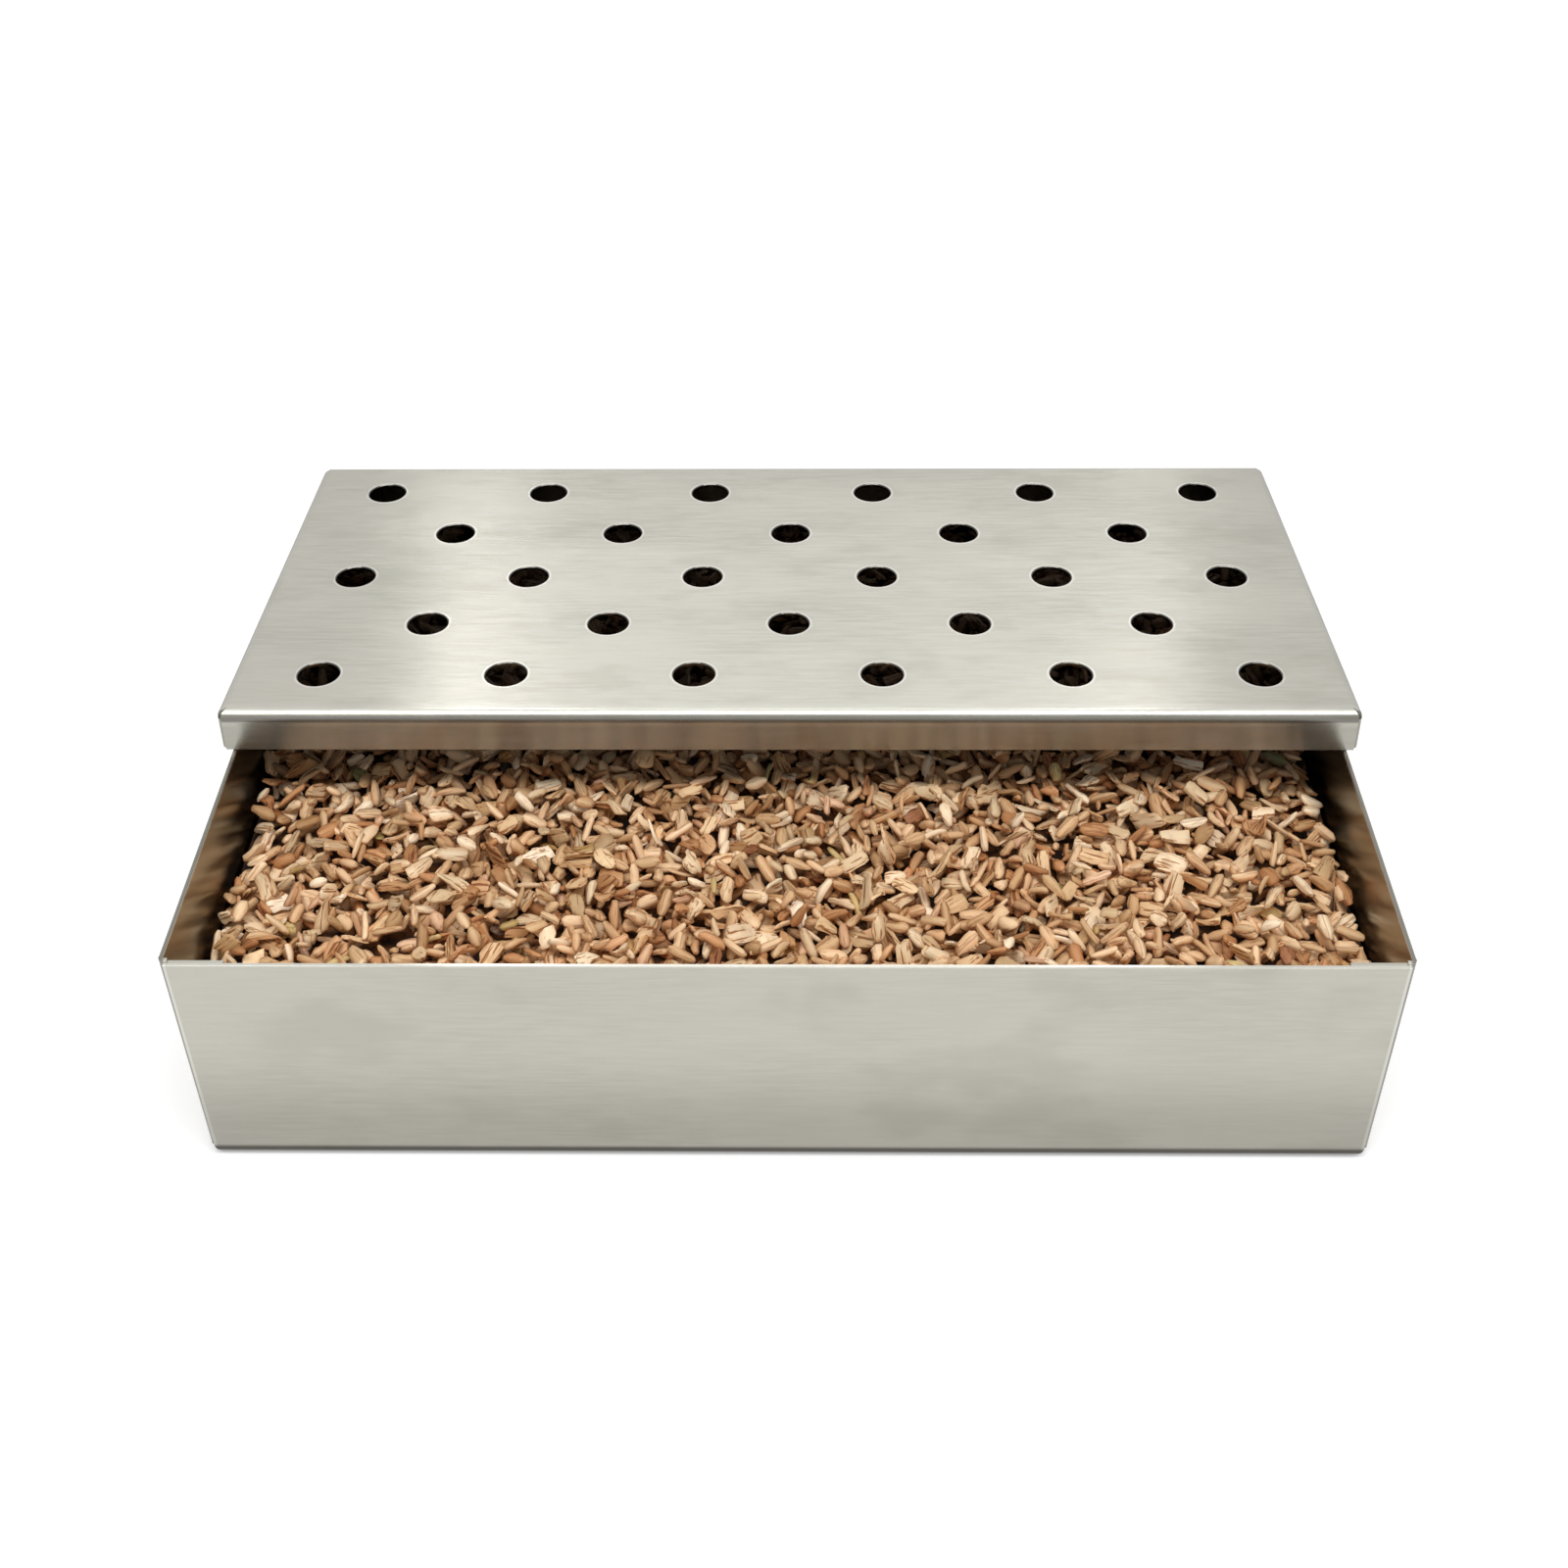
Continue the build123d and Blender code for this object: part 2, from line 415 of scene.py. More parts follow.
def brushed_steel(name, patches, tone, painted_shade, painted_highlight):
    """Brushed stainless steel with highlights drawn out across its grain.

    The patches are counted per metre, and the tone makes the whole piece lighter or darker.
    Two functions say where painted shade darkens it and where a painted highlight lightens it.
    """
    made, s = new_material(name)
    grain = s.node("ShaderNodeGroup", node_tree=GRAIN).outputs
    cloud = s.node("ShaderNodeGroup", node_tree=CLOUD, inputs={"Patches per Metre": patches}).outputs

    def toned(colour):
        return (*(part * tone for part in colour), 1)

    base = s.tint(s.ramp(grain["Line"], 0.3, 0.7), *(toned(colour) for colour in LINE_TONES))
    base = s.tint(s.ramp(grain["Streak"], 0.40, 0.66, 0.0, 0.34), base, toned(STREAK_TONE))
    base = s.tint(s.ramp(cloud["Cloud"], 0.35, 0.65, 0.0, 0.5), base, toned(CLOUD_TONE))
    base = s.tint(s.ramp(cloud["Wave"], 0.50, 0.72, 0.0, 0.45), base, toned(SMUDGE_TONE))
    # Painted highlight, then painted shade
    base = s.tint(s.math("MULTIPLY", painted_highlight(s), 0.55), base, PAINTED_HIGHLIGHT_COLOUR)
    base = s.tint(painted_shade(s), base, PAINTED_SHADE_COLOUR)
    rough = s.math(
        "ADD",
        s.ramp(grain["Line"], 0.3, 0.7, 0.20, 0.225),
        s.ramp(cloud["Cloud"], 0.35, 0.65, 0.0, 0.04),
    )
    lines = s.bump(grain["Line"], 0.05, 0.08 * MM)
    streaks = s.bump(grain["Streak"], 0.04, 0.12 * MM, Normal=lines)
    waves = s.bump(cloud["Wave"], 0.08, 0.6 * MM, Normal=streaks)
    across_grain = s.node("ShaderNodeCombineXYZ", inputs={"X": 0.0, "Y": 1.0, "Z": 0.02})
    steel = s.node(
        "ShaderNodeBsdfPrincipled",
        inputs={
            "Base Color": base,
            "Metallic": 1.0,
            "Roughness": rough,
            "Anisotropic": 0.94,
            "Normal": waves,
            "Tangent": across_grain.outputs[0],
        },
    )
    s.surface(steel)
    return made


# Wood

GROOVE_SHADE = (0.42, 0.22, 0.09, 1)  # what is left of the tint in a full-depth groove
FACE_GAIN = (1.12, 1.12, 1.10, 1)  # and how much lighter the wood between the grooves is
# Painted shade: the packed chips far darker than the loose ones, and nearly black in their gaps
PACKED_GAP = (0.014, 0.004, 0.001, 1)
PACKED_CHIP = (0.22, 0.095, 0.030, 1)


def chip_wood(name, groove):
    """Split wood: each chip has its own tint, and fibres along it that are grooved this deep.

    The noise runs in each chip's own coordinates, in millimetres, drawn out along the chip.
    """
    made, s = new_material(name)
    tint = s.node("ShaderNodeAttribute", attribute_name="chip_tint").outputs["Color"]
    place = s.node("ShaderNodeAttribute", attribute_name="chip_grain").outputs["Vector"]
    fibre = s.noise(s.scaled(place, (0.12, 1.6, 1.6)), 1.0, 2.0, 0.55)
    mottle = s.noise(place, 0.45, 2.0, 0.5)
    dark = s.tint(groove, tint, GROOVE_SHADE, "MULTIPLY")
    light = s.tint(1.0, tint, FACE_GAIN, "MULTIPLY")
    base = s.tint(s.ramp(fibre, 0.37, 0.46), dark, light)
    base = s.tint(s.ramp(mottle, 0.5, 0.8, 0.0, 0.35), base, dark)
    wood = s.node(
        "ShaderNodeBsdfPrincipled",
        inputs={
            "Base Color": base,
            "Roughness": s.ramp(fibre, 0.3, 0.7, 0.75, 0.55),
            "Specular IOR Level": 0.5,
            "Normal": s.bump(fibre, 0.8 * groove, 0.25 * MM),
        },
    )
    s.surface(wood)
    return made


def packed_wood():
    """The packed chips under the loose ones, in painted shade: cells like chip ends, shadow painted in
    the gaps.
    """
    made, s = new_material("packed_wood")
    cells = s.node(
        "ShaderNodeTexVoronoi",
        feature="F1",
        inputs={"Vector": s.scaled(s.place(), (1.0, 1.6, 1.6)), "Scale": 230.0},
    )
    shade = s.ramp(cells.outputs["Distance"], 0.2, 0.75, 1.0, 0.0)
    wood = s.node(
        "ShaderNodeBsdfPrincipled",
        inputs={
            "Base Color": s.tint(shade, PACKED_GAP, PACKED_CHIP),
            "Roughness": 0.85,
            "Normal": s.bump(shade, 0.8, 1.5 * MM),
        },
    )
    s.surface(wood)
    return made


# Wood chips: each is a small closed surface, and they are thrown one by one onto the heap

SECTION = 6  # points round a chip
RINGS = 5  # rings along it, between its two end points
section_angles = (np.arange(SECTION) + 0.5) / SECTION * 2 * math.pi
ring_places = np.cos(np.linspace(math.pi * 0.86, math.pi * 0.14, RINGS))  # closer near the ends

UNEVEN = 0.10  # spread of a chip's width from ring to ring, as a share
DENTS = 0.07  # spread of the distance of its single points from its middle line, as a share
TWIST = 0.35  # spread of a section's turn at a chip's end, in radians
SWAY = 0.05  # spread of how much its middle line bends sideways
BEND_ZERO = 0.3  # the bent middle line crosses the straight one where t squared is this


def chip_faces():
    """Faces of one chip: quads between its rings, and a fan of triangles to each end point."""
    around = np.arange(SECTION)
    after = (around + 1) % SECTION
    ring = np.arange(RINGS - 1)[:, None] * SECTION
    quads = np.stack([ring + around, ring + after, ring + SECTION + after, ring + SECTION + around], -1)
    first, last = RINGS * SECTION, RINGS * SECTION + 1
    top = (RINGS - 1) * SECTION
    near = np.stack([after, around, np.full(SECTION, first)], -1)
    far = np.stack([top + around, top + after, np.full(SECTION, last)], -1)
    return quads.reshape(-1, 4), np.concatenate([near, far])


def chip_shapes(size, end, edge, curl, slant, draw):
    """Chips' points in their own axes, in millimetres, all chips at once.

    At the share t along its length, from -1 to 1, a chip is (1 - |t|^end)^(1/end) of its full
    width and thickness, so a large end is a blunt one. Its section is a superellipse of
    exponent edge. The middle line rises by curl times t squared, the section turns along it,
    and a slanted end leads on one side.
    """
    count = len(size)
    half, wide, tall = (size[:, axis, None, None] / 2 for axis in range(3))
    t = ring_places[None, :, None]
    cos, sin = np.cos(section_angles)[None, None], np.sin(section_angles)[None, None]
    power = 2 / edge[:, None, None]
    across = np.sign(cos) * np.abs(cos) ** power
    upward = np.sign(sin) * np.abs(sin) ** power
    blunt = end[:, None, None]
    full = (1 - np.abs(t) ** blunt) ** (1 / blunt)
    uneven = 1 + UNEVEN * draw.standard_normal((count, RINGS, 1))
    dents = 1 + DENTS * draw.standard_normal((count, RINGS, SECTION))
    y = wide * full * uneven * across * dents
    z = tall * full * upward * dents
    turn = (TWIST * draw.standard_normal(count))[:, None, None] * t
    y, z = y * np.cos(turn) - z * np.sin(turn), y * np.sin(turn) + z * np.cos(turn)
    x = half * t + slant[:, None, None] * y
    bend = t * t - BEND_ZERO
    curl = curl[:, None, None]
    sway = (SWAY * draw.standard_normal(count))[:, None, None]
    z = z + curl * half * bend
    y = y + sway * half * bend
    x, y, z = np.broadcast_arrays(x, y, z)
    rings = np.stack([x, y, z], -1).reshape(count, -1, 3)
    tips = np.zeros((count, 2, 3))
    tips[:, :, 0] = half[:, 0] * np.array([-1.0, 1.0])
    tips[:, :, 1] = (sway * half)[:, 0] * (1 - BEND_ZERO)
    tips[:, :, 2] = (curl * half)[:, 0] * (1 - BEND_ZERO)
    return np.concatenate([rings, tips], 1)


def turned(yaw, pitch, roll):
    """Turning matrices for whole arrays: roll about a chip's length, then pitch, then yaw."""
    zero, one = np.zeros_like(yaw), np.ones_like(yaw)
    cy, sy, cp, sp, cr, sr = (f(a) for a in (yaw, pitch, roll) for f in (np.cos, np.sin))
    about_z = np.stack([cy, -sy, zero, sy, cy, zero, zero, zero, one], -1).reshape(-1, 3, 3)
    about_y = np.stack([cp, zero, -sp, zero, one, zero, sp, zero, cp], -1).reshape(-1, 3, 3)
    about_x = np.stack([one, zero, zero, zero, cr, -sr, zero, sr, cr], -1).reshape(-1, 3, 3)
    return about_z @ about_y @ about_x


# The heap's height map. All its lengths are in millimetres.
CELL = 0.5
LEVEL = 4.9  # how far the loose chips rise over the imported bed
BURIED = 2.2  # a chip with this much heap over it is out of sight, and is left out
SWELLS = 14  # waves that make up the heap's uneven level
SWELL_HEIGHT = 2.2
SWELL_RUN = (2.0, 9.0)  # a wave's turn, in radians, from the middle of the heap to its edge
WALL_DIP = 1.6  # how much lower the chips lie right beside a side wall
DIP_REACH = 0.10  # how far that dip reaches, as a share of half the heap's width
bed_size = ((bed_high - bed_low) / MM).xy
heap_shape = (int(bed_size.y / CELL), int(bed_size.x / CELL))


def heap_level(draw):
    """How high the chips come over the bed, cell by cell.

    It is the mean of many sine waves, each with its own direction, length and start. Beside
    the side walls it dips, with the square of the share of the dip's reach.
    """
    rows, columns = (np.linspace(-1, 1, cells) for cells in heap_shape)
    y, x = np.meshgrid(rows, columns, indexing="ij")
    swell = np.zeros(heap_shape)
    for _ in range(SWELLS):
        run = draw.uniform(*SWELL_RUN, 2) * (1, 0.6)
        swell += np.sin(x * run[0] + y * run[1] + draw.uniform(0, 2 * math.pi)) / SWELLS
    beside_wall = np.clip((np.abs(x) - (1 - DIP_REACH)) / DIP_REACH, 0, 1) ** 2
    return LEVEL + SWELL_HEIGHT * swell - WALL_DIP * beside_wall


# How chips lie: angles in radians, slopes as rise over run
TRIES = 5  # places that a chip may choose from
ON_EDGE = 0.27  # share of chips that stand on their narrow side
EDGE_ROLL = 1.25  # and how far those are rolled over
ROLL_SPREAD = 0.22
LEAN_SPREAD = 0.16  # spread of the slope that a chip adds to that of the heap under it
LEAN_SHARES = (1, 0.6)  # how much of its lean goes along the chip, and across it
STEEP = 0.14  # share of chips that stick up
STEEP_SPREAD = 0.55
STEEPEST = 0.7  # greatest slope that a chip takes over from the heap
ROOM = 0.4  # a place must lie this far under the heap's level, in millimetres
SINK = 0.22  # share of its thickness that a chip sinks in
SHOULDER = 0.55  # height of a chip's upper side at its outline, as a share of that at its middle


def throw_chips(size, draw):
    """Drops each chip onto the heap's height map, and tells which chips stay and how they lie.

    Of the places tried, a chip takes the one that is furthest under the heap's level, and a
    chip that finds no room goes. It lies on the plane that best fits the heights under nine
    points of it, with a lean of its own, just high enough to rest on the highest of them and
    sunk in a little. The map then rises to its upper side, a shallow dome. Returned are the
    chips' numbers, places and turns, and how deep the finished heap covers each. Chips that
    are out of sight are left out.
    """
    count = len(size)
    height = np.zeros(heap_shape)
    level = heap_level(draw)
    grid = np.array([(a, b) for a in (-0.75, 0, 0.75) for b in (-0.7, 0, 0.7)])
    fit = np.linalg.pinv(np.column_stack([grid, np.ones(len(grid))]))
    on_edge = draw.random(count) < ON_EDGE
    roll = np.where(on_edge, EDGE_ROLL, 0.0) * draw.choice([-1, 1], count)
    roll = roll + draw.normal(0, ROLL_SPREAD, count)
    lean = draw.normal(0, LEAN_SPREAD, (count, 2))
    steep = draw.random(count) < STEEP
    lean[steep, 0] += draw.normal(0, STEEP_SPREAD, steep.sum())
    wide = np.abs(np.cos(roll)) * size[:, 1] + np.abs(np.sin(roll)) * size[:, 2]
    tall = np.abs(np.sin(roll)) * size[:, 1] + np.abs(np.cos(roll)) * size[:, 2]
    spots = draw.random((count, TRIES, 2))
    yaws = draw.uniform(0, 2 * math.pi, (count, TRIES))
    kept, place, turns = [], [], []
    for i in range(count):
        # The places tried, each with the chip's outline clear of the walls
        half = np.array([size[i, 0] / 2, wide[i] / 2])
        cos, sin = np.cos(yaws[i]), np.sin(yaws[i])
        reach = np.abs(cos) * half[0] + np.abs(sin) * half[1]
        depth = np.abs(sin) * half[0] + np.abs(cos) * half[1]
        x = reach + spots[i, :, 0] * (bed_size.x - 2 * reach)
        y = depth + spots[i, :, 1] * (bed_size.y - 2 * depth)
        local = grid * half
        px = x[:, None] + cos[:, None] * local[:, 0] - sin[:, None] * local[:, 1]
        py = y[:, None] + sin[:, None] * local[:, 0] + cos[:, None] * local[:, 1]
        column = np.clip((px / CELL).astype(int), 0, heap_shape[1] - 1)
        row = np.clip((py / CELL).astype(int), 0, heap_shape[0] - 1)
        under = height[row, column]
        over = under.mean(1) - level[row, column].mean(1)
        best = int(np.argmin(over))
        if over[best] > -ROOM:
            continue
        # The plane that it lies on, and the height of its underside's middle
        slope = (fit @ under[best])[:2] / half
        slope = np.clip(slope, -STEEPEST, STEEPEST) + lean[i] * LEAN_SHARES
        foot = (under[best] - local @ slope).max() - SINK * tall[i]
        # The cells under its outline, raised to its upper side
        x, y, cos, sin = x[best], y[best], cos[best], sin[best]
        c0, c1 = int((x - reach[best]) / CELL), int((x + reach[best]) / CELL) + 1
        r0, r1 = int((y - depth[best]) / CELL), int((y + depth[best]) / CELL) + 1
        patch = height[r0:r1, c0:c1]
        gx = (np.arange(c0, c0 + patch.shape[1]) + 0.5)[None, :] * CELL - x
        gy = (np.arange(r0, r0 + patch.shape[0]) + 0.5)[:, None] * CELL - y
        u, v = cos * gx + sin * gy, -sin * gx + cos * gy
        outward = (u / half[0]) ** 2 + (v / half[1]) ** 2
        dome = SHOULDER + (1 - SHOULDER) * np.sqrt(np.clip(1 - outward, 0, 1))
        top = foot + slope[0] * u + slope[1] * v + tall[i] * dome
        patch[outward < 1] = np.maximum(patch, top)[outward < 1]
        kept.append(i)
        place.append((x, y, foot + tall[i] / 2))
        turns.append((math.atan2(sin, cos), math.atan(slope[0]), roll[i] + math.atan(slope[1])))
    kept, place, turns = np.array(kept), np.array(place), np.array(turns)
    upper_side = place[:, 2] + tall[kept] / 2
    cover = lowest_cover(height, place, turns[:, 0], size[kept, 0]) - upper_side
    in_sight = cover < BURIED
    return kept[in_sight], place[in_sight], turns[in_sight], cover[in_sight]


def lowest_cover(height, place, yaw, length):
    """The least height of the finished heap over each chip, at its middle and towards its ends."""
    reach = np.array([-0.35, 0, 0.35])[:, None] * length
    column = ((place[:, 0] + np.cos(yaw) * reach) / CELL).astype(int)
    row = ((place[:, 1] + np.sin(yaw) * reach) / CELL).astype(int)
    return height[row, column].min(0)


# Each kind of chip: the solid that it stands for, how many are thrown, its least and greatest
# length, width and thickness, how blunt its ends and how square its edges are, from the least
# to the greatest exponent, and how much it curls
CHIP_KINDS = {
    "wood_grains": dict(
        node="wood_grains", thrown=3800, least=(3.8, 2.1, 1.0), most=(7.0, 3.4, 1.7),
        end=(2.0, 3.2), edge=(2.0, 3.2), curl=0.07,
    ),
    "small_grains": dict(
        node="wood_grains", thrown=2800, least=(2.9, 1.5, 0.8), most=(5.2, 2.6, 1.4),
        end=(2.0, 3.2), edge=(2.0, 3.2), curl=0.07,
    ),
    "wood_slivers": dict(
        node="wood_slivers", thrown=2200, least=(3.8, 1.2, 0.8), most=(8.0, 2.3, 1.3),
        end=(2.2, 4.0), edge=(2.2, 3.6), curl=0.08,
    ),
    "wood_flakes": dict(
        node="wood_flakes", thrown=3300, least=(3.6, 2.3, 0.7), most=(7.6, 4.4, 1.2),
        end=(2.4, 5.5), edge=(3.0, 5.0), curl=0.07,
    ),
    "bark_flakes": dict(
        node="bark_flakes", thrown=240, least=(3.6, 1.9, 0.7), most=(6.8, 3.5, 1.2),
        end=(2.6, 5.0), edge=(2.6, 4.0), curl=0.20,
    ),
    "leaf_bits": dict(
        node="leaf_bits", thrown=50, least=(4.0, 2.2, 0.4), most=(7.0, 3.6, 0.7),
        end=(2.0, 2.8), edge=(2.2, 3.0), curl=0.25,
    ),
}
# Flat chips, split along the grain so that it stands out in grooves
GROOVED = ("wood_flakes", "bark_flakes")


def srgb(*levels):
    """Linear colour of a display colour given from 0 to 255."""
    v = np.array(levels) / 255
    return np.where(v <= 0.04045, v / 12.92, ((v + 0.055) / 1.055) ** 2.4)


# The woods of each kind of chip: the share of the chips that each makes up, and its colour
GRAIN_WOODS = [
    (0.44, srgb(240, 206, 165)),  # tan
    (0.26, srgb(229, 189, 145)),  # darker tan
    (0.17, srgb(248, 224, 190)),  # pale
    (0.05, srgb(235, 194, 158)),  # pinkish
    (0.07, srgb(208, 154, 106)),  # brown
    (0.01, srgb(222, 200, 142)),  # greenish
]
WOODS = {
    "wood_grains": GRAIN_WOODS,
    "small_grains": GRAIN_WOODS,
    "wood_slivers": GRAIN_WOODS,
    "wood_flakes": [
        (0.44, srgb(247, 222, 186)),  # pale
        (0.32, srgb(238, 204, 160)),  # tan
        (0.10, srgb(250, 232, 204)),  # palest
        (0.13, srgb(218, 172, 126)),  # brown
        (0.01, srgb(228, 204, 144)),  # greenish
    ],
    "bark_flakes": [
        (0.44, srgb(212, 156, 108)),  # inner bark
        (0.30, srgb(220, 170, 124)),  # the same, paler
        (0.18, srgb(178, 124, 86)),  # brown
        (0.08, srgb(116, 88, 66)),  # outer bark
    ],
    "leaf_bits": [
        (0.5, srgb(160, 164, 118)),  # green
        (0.3, srgb(188, 182, 124)),  # yellow
        (0.2, srgb(106, 104, 86)),  # dead
    ],
}
# Single chips are lighter or darker by the exponential of a normal spread, up to a limit
SHADE_MEAN, SHADE_SPREAD, SHADE_LIMIT = -0.08, 0.20, 0.10
SHADE_RATIO = np.array((1.0, 1.3, 1.8))  # a darker chip loses this much more green and blue
DEPTH_SHADE = np.array((0.40, 0.75, 1.15))  # painted shade: how strongly it takes each colour out of the deepest chips
UNDER_LID_SHADE = np.array((0.42, 0.41, 0.43))  # painted shade: what is left of each colour under the lid
UNDER_LID_START = 12  # where that painted shade starts, in millimetres behind the lid's front edge
UNDER_LID_RUN = 26  # millimetres from there to where it is full
UNDER_LID_SPREAD = 4  # millimetres by which single chips differ
NARROW_SIDE_SHADE = np.array((0.35, 0.56, 0.72))  # painted shade: how much browner a chip's narrow sides may be
SHARP_ANGLE = math.radians(50)  # flat chips' faces meet in an edge where they turn more


def chip_tints(kind, y, cover, draw):
    """A colour for each chip: one of its kind's woods, and the darker the chip, the browner.

    Chips that lie deeper get painted shade and are browner. Under the lid the chips get painted
    shade, more and more towards the rear.
    """
    count = len(y)
    shares, colours = zip(*WOODS[kind])
    chosen = np.array(colours)[draw.choice(len(colours), count, p=np.array(shares) / sum(shares))]
    shade = np.minimum(draw.normal(SHADE_MEAN, SHADE_SPREAD, (count, 1)), SHADE_LIMIT)
    # Painted shade on the chips that lie deeper
    depth_shade = np.exp(-np.clip(cover / BURIED, 0, 1)[:, None] * DEPTH_SHADE)
    # Painted shade on the chips under the lid, more towards the rear
    behind = y + draw.normal(0, UNDER_LID_SPREAD, count) - lid_low.y / MM - UNDER_LID_START
    covered = np.clip(behind / UNDER_LID_RUN, 0, 1)[:, None]
    return chosen * np.exp(shade * SHADE_RATIO) * depth_shade * UNDER_LID_SHADE**covered


def narrow_side_weight():
    """1 at a chip's points on its narrow sides and ends, 0 along the middle of its two faces."""
    sides = np.abs(np.cos(section_angles)) / np.cos(math.pi / SECTION)
    return np.concatenate([np.tile(sides, RINGS), [1.0, 1.0]])


def chip_piece(name, points, tints, sides, fibres):
    """One mesh of all the chips of a kind, with their tints and fibre coordinates as attributes.

    The sides tell how much painted shade each chip has on its narrow sides.
    """
    count, per_chip = points.shape[:2]
    quads, fans = chip_faces()
    start = np.arange(count)[:, None, None] * per_chip
    quads, fans = (quads + start).reshape(-1, 4), (fans + start).reshape(-1, 3)
    corners = np.concatenate([quads.ravel(), fans.ravel()])
    sizes = np.concatenate([np.full(len(quads), 4), np.full(len(fans), 3)])
    mesh = bpy.data.meshes.new("loose_" + name)
    mesh.vertices.add(count * per_chip)
    mesh.vertices.foreach_set("co", (points * MM).astype(np.float32).ravel())
    mesh.loops.add(len(corners))
    mesh.loops.foreach_set("vertex_index", corners.astype(np.int32))
    mesh.polygons.add(len(sizes))
    mesh.polygons.foreach_set("loop_start", (np.cumsum(sizes) - sizes).astype(np.int32))
    mesh.update(calc_edges=True)
    mesh.shade_smooth()
    if name in GROOVED:
        mesh.set_sharp_from_angle(angle=SHARP_ANGLE)
    colour = mesh.attributes.new("chip_tint", "FLOAT_COLOR", "POINT")
    rgba = np.ones((count, per_chip, 4), np.float32)
    # Painted shade on each chip's narrow sides
    rgba[:, :, :3] = tints[:, None] * (1 - sides[:, None, None] * narrow_side_weight()[:, None] * NARROW_SIDE_SHADE)
    colour.data.foreach_set("color", rgba.ravel())
    grain = mesh.attributes.new("chip_grain", "FLOAT_VECTOR", "POINT")
    grain.data.foreach_set("vector", fibres.astype(np.float32).ravel())
    piece = bpy.data.objects.new("loose_" + name, mesh)
    bpy.context.scene.collection.objects.link(piece)
    return piece


SEED = 11
SIZE_SHAPE = (1.6, 1.9)  # beta spread of the sizes between a kind's least and greatest
SIDE_SHAPE = (1.3, 1.8)  # beta spread of how much painted shade chips have on their narrow sides
SLANT_SPREAD = 0.3
FIBRE_RANGE = 400  # chips take their fibres from places up to this far apart in the noise


def of_kinds(word, kind_of):
    """What the table of kinds says under a word, for each of the chips with these kinds' numbers."""
    return np.array([kind[word] for kind in CHIP_KINDS.values()])[kind_of]


def between(limits, draw):
    """A random value for each chip between its two limits."""
    return limits[:, 0] + (limits[:, 1] - limits[:, 0]) * draw.random(len(limits))


def make_chips():
    """Throws chips of every kind in one mixed order, and makes a piece of each kind."""
    draw = np.random.default_rng(SEED)
    thrown = [kind["thrown"] for kind in CHIP_KINDS.values()]
    kind_of = np.repeat(np.arange(len(thrown)), thrown)
    kind_of = kind_of[draw.permutation(len(kind_of))]
    least, most = of_kinds("least", kind_of), of_kinds("most", kind_of)
    size = least + (most - least) * draw.beta(*SIZE_SHAPE, least.shape)
    kept, place, turns, cover = throw_chips(size, draw)
    kind_of, size = kind_of[kept], size[kept]
    end = between(of_kinds("end", kind_of), draw)
    edge = between(of_kinds("edge", kind_of), draw)
    curl = of_kinds("curl", kind_of) * draw.normal(0, 1, len(kept))
    slant = draw.normal(0, SLANT_SPREAD, len(kept))
    local = chip_shapes(size, end, edge, curl, slant, draw)
    corner = np.array([bed_low.x, bed_low.y, bed_high.z]) / MM
    points = np.einsum("nij,npj->npi", turned(*turns.T), local) + place[:, None] + corner
    fibres = local + draw.uniform(0, FIBRE_RANGE, (len(kept), 1, 3))
    pieces = {}
    for number, kind in enumerate(CHIP_KINDS):
        mine = kind_of == number
        tints = chip_tints(kind, place[mine, 1] + corner[1], cover[mine], draw)
        sides = draw.beta(*SIDE_SHAPE, mine.sum())
        pieces[kind] = chip_piece(kind, points[mine], tints, sides, fibres[mine])
    return pieces


smooth_wood = chip_wood("split_wood", 0.45)
grooved_wood = chip_wood("grooved_wood", 0.95)
for kind, piece in make_chips().items():
    node = CHIP_KINDS[kind]["node"]
    piece.data.materials.append(grooved_wood if kind in GROOVED else smooth_wood)
    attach(piece, "tray")
    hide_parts(node)


def dress(node, material):
    """Gives a carried-over solid its finish."""
    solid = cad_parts[node]
    solid.data.materials.clear()
    solid.data.materials.append(material)


dress("tray", brushed_steel("tray_steel", 20.0, 1.07, tray_painted_shade, tray_painted_highlight))
dress("lid", brushed_steel("lid_steel", 26.0, 0.96, lid_painted_shade, lid_painted_highlight))
dress("chip_bed", packed_wood())


# Floor, light and camera

FLOOR_HALF = 0.8
FLOOR_DROP = 0.2 * MM  # the floor lies this much under the box, so that no faces coincide
NEAR, FAR = 0.35, 0.7  # distances from the box between which the floor's lift grows
NEAR_LIFT, FAR_LIFT = 0.12, 0.5  # light added to the floor where it is seen directly
SEEN_LIFT = 0.2  # light added to it where it is seen at all, directly or in steel
SKY_LIGHT = 0.35  # the sky's strength as a light; where it is seen it is 1


def background_share(s):
    """1 for rays that see the floor or sky themselves or in metal, 0 for those that gather light."""
    path = s.node("ShaderNodeLightPath").outputs
    return s.most(path["Is Camera Ray"], path["Is Glossy Ray"], path["Is Transmission Ray"])


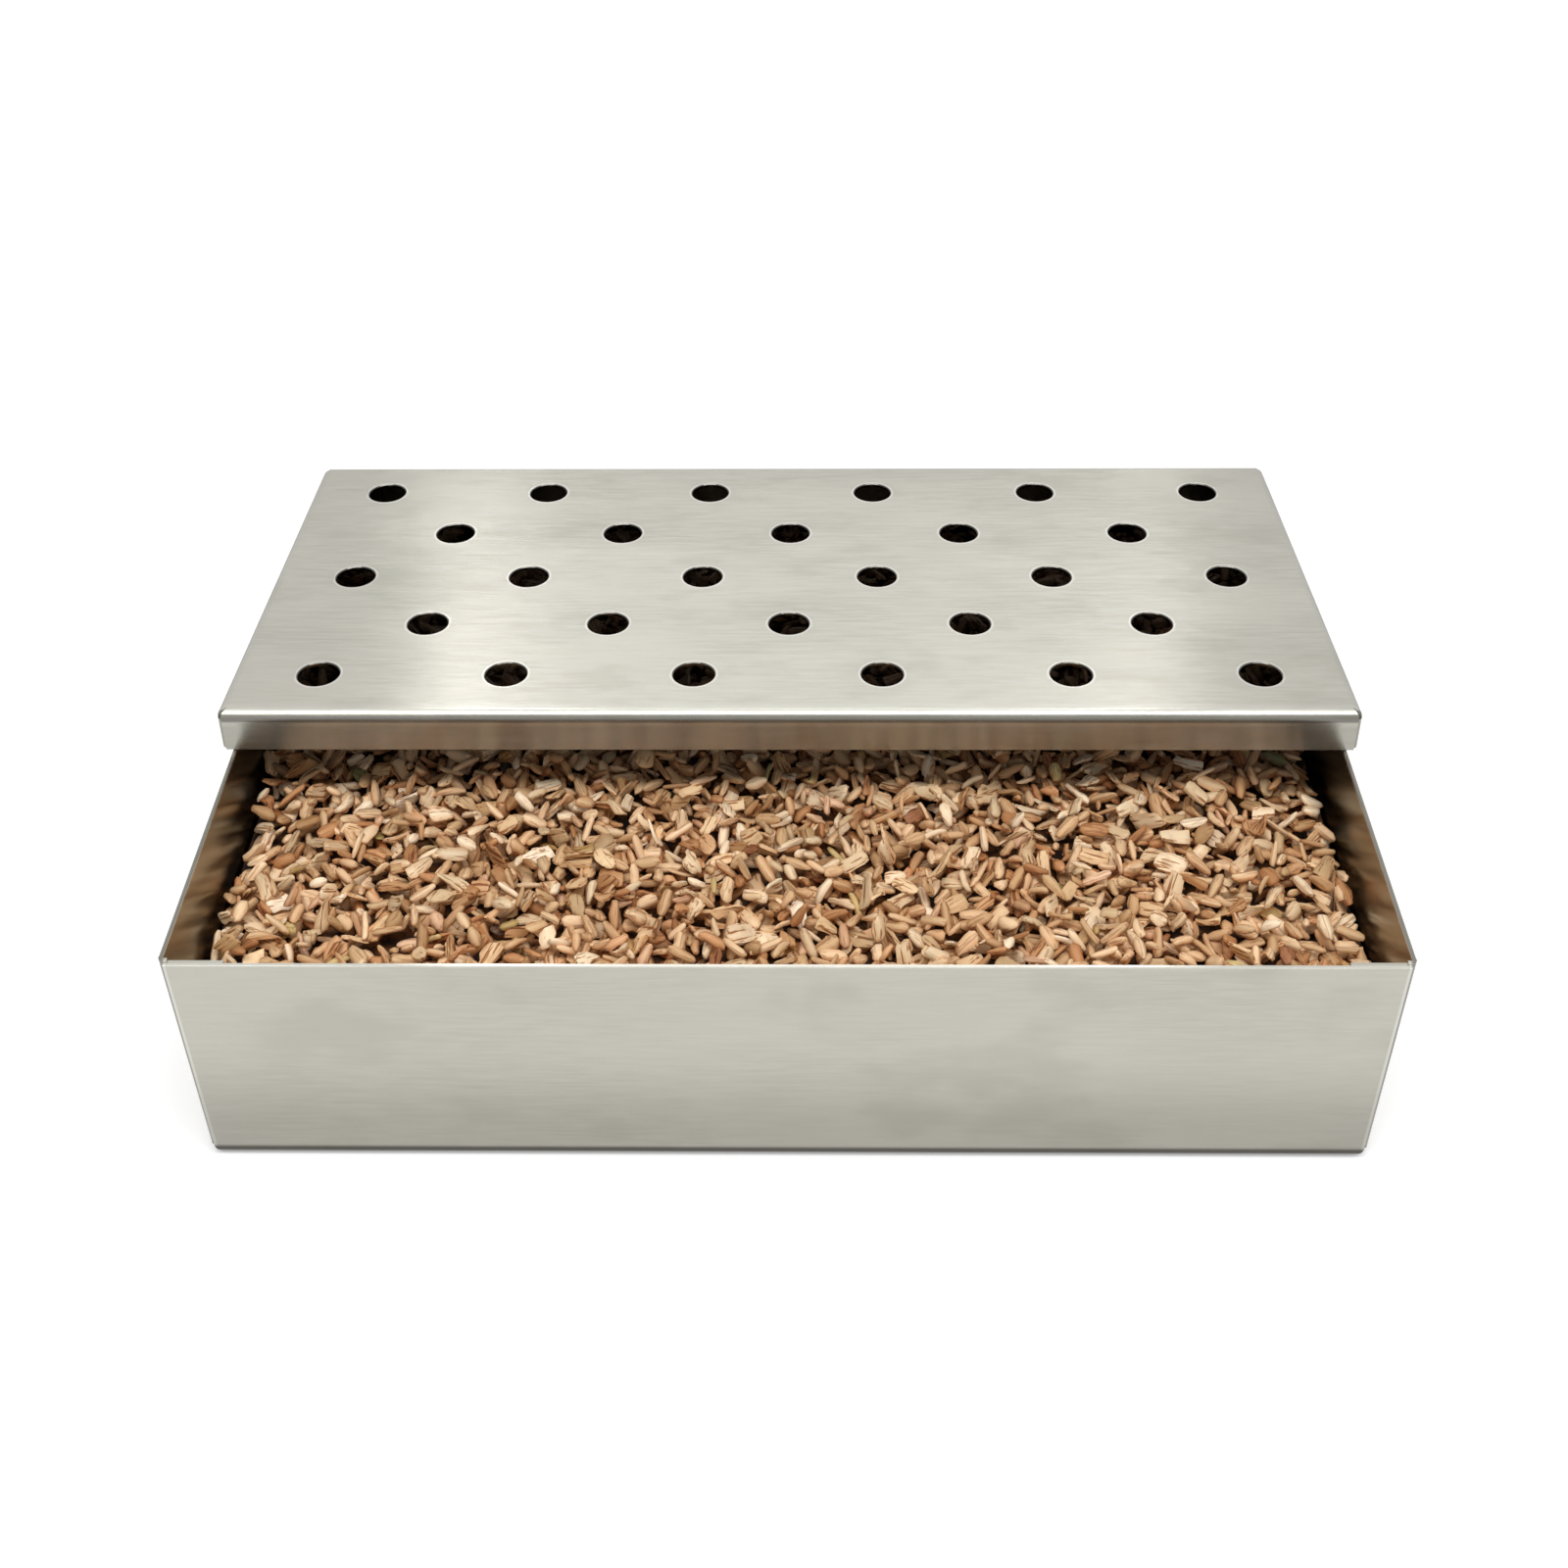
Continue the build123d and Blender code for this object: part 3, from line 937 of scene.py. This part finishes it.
def make_floor():
    """A plain white floor that keeps the box's shadow: matt, and lifted to white where it is seen.

    Far from the box the lift grows, so that the floor runs into the sky without an edge.
    """
    made, s = new_material("studio_floor")
    matt = s.node("ShaderNodeBsdfDiffuse", inputs={"Color": (0.86, 0.86, 0.86, 1)})
    directly = s.node("ShaderNodeLightPath").outputs["Is Camera Ray"]
    distance = s.node("ShaderNodeVectorMath", operation="LENGTH", inputs={0: s.place()})
    extra = s.ramp(distance.outputs["Value"], NEAR, FAR, NEAR_LIFT, FAR_LIFT)
    basic = s.math("MULTIPLY", background_share(s), SEEN_LIFT)
    strength = s.math("MULTIPLY_ADD", directly, extra, basic)
    lift = s.node("ShaderNodeEmission", inputs={"Color": (1, 1, 1, 1), "Strength": strength})
    s.surface(s.node("ShaderNodeAddShader", inputs={0: matt.outputs[0], 1: lift.outputs[0]}))
    mesh = bpy.data.meshes.new("studio_floor")
    sides = (-FLOOR_HALF, FLOOR_HALF)
    corners = [(x, y, -FLOOR_DROP) for y in sides for x in sides]
    mesh.from_pydata(corners, [], [(0, 1, 3, 2)])
    mesh.materials.append(made)
    floor = bpy.data.objects.new("studio_floor", mesh)
    bpy.context.scene.collection.objects.link(floor)


def make_world():
    """A plain sky: white where it is looked at or reflected, dimmer as a light."""
    world = bpy.data.worlds.new("studio_sky")
    world.use_nodes = True
    world.node_tree.nodes.clear()
    s = Shader(world.node_tree)
    strength = s.math("MULTIPLY_ADD", background_share(s), 1 - SKY_LIGHT, SKY_LIGHT)
    sky = s.node("ShaderNodeBackground", inputs={"Color": (1, 1, 1, 1), "Strength": strength})
    s.node("ShaderNodeOutputWorld", inputs={"Surface": sky.outputs[0]})
    bpy.context.scene.world = world


def add_lamp(name, place, aim, width, depth, watts):
    """A soft rectangular lamp that faces a point."""
    data = bpy.data.lights.new(name, "AREA")
    data.shape = "RECTANGLE"
    data.size, data.size_y = width, depth
    data.energy = watts
    lamp = bpy.data.objects.new(name, data)
    lamp.location = place
    lamp.rotation_euler = (Vector(aim) - Vector(place)).to_track_quat("-Z", "Y").to_euler()
    lamp.visible_camera = False
    bpy.context.scene.collection.objects.link(lamp)


CAMERA_PITCH = math.radians(36.632)
CAMERA_YAW = math.radians(1.009)
CAMERA_ROLL = math.radians(-0.631)
FOCAL_LENGTH = 44.37675  # millimetres, for a sensor 36 mm wide
# Right of the tray's middle, in front of it and above its rim
camera_place = Vector((0.0049, tray_low.y - 0.24115, tray_high.z + 0.26502))


def make_camera():
    """Looks down on the box from the front, a little turned and tipped, as if held by hand."""
    turn = Matrix.Rotation(CAMERA_YAW, 3, "Z")
    right = turn @ Vector((1, 0, 0))
    ahead = turn @ Vector((0, math.cos(CAMERA_PITCH), -math.sin(CAMERA_PITCH)))
    up = turn @ Vector((0, math.sin(CAMERA_PITCH), math.cos(CAMERA_PITCH)))
    across = math.cos(CAMERA_ROLL) * right + math.sin(CAMERA_ROLL) * up
    above = math.cos(CAMERA_ROLL) * up - math.sin(CAMERA_ROLL) * right
    turns = Matrix((across, above, -ahead)).transposed().to_4x4()
    data = bpy.data.cameras.new("camera")
    data.sensor_width = 36.0
    data.lens = FOCAL_LENGTH
    data.shift_y = -0.125
    camera = bpy.data.objects.new("camera", data)
    camera.matrix_world = Matrix.Translation(camera_place) @ turns
    bpy.context.scene.collection.objects.link(camera)
    bpy.context.scene.camera = camera


make_floor()
make_world()
# One lamp over the box, and three behind it whose reflections make the steel's highlights
add_lamp("overhead_softbox", (0.05, -0.45, 1.45), (0, 0, 0.04), 1.5, 0.45, 15.5)
add_lamp("rear_panel", (-0.035, 1.4, 1.6), (-0.035, 0, 0.04), 0.95, 0.8, 2.7)
add_lamp("right_strip", (0.405, 1.4, 1.6), (0.06, 0, 0.04), 0.08, 0.8, 0.62)
add_lamp("left_strip", (-0.40, 1.4, 1.6), (-0.06, 0, 0.04), 0.08, 0.8, 0.85)
make_camera()
bpy.context.scene.view_settings.view_transform = "Standard"
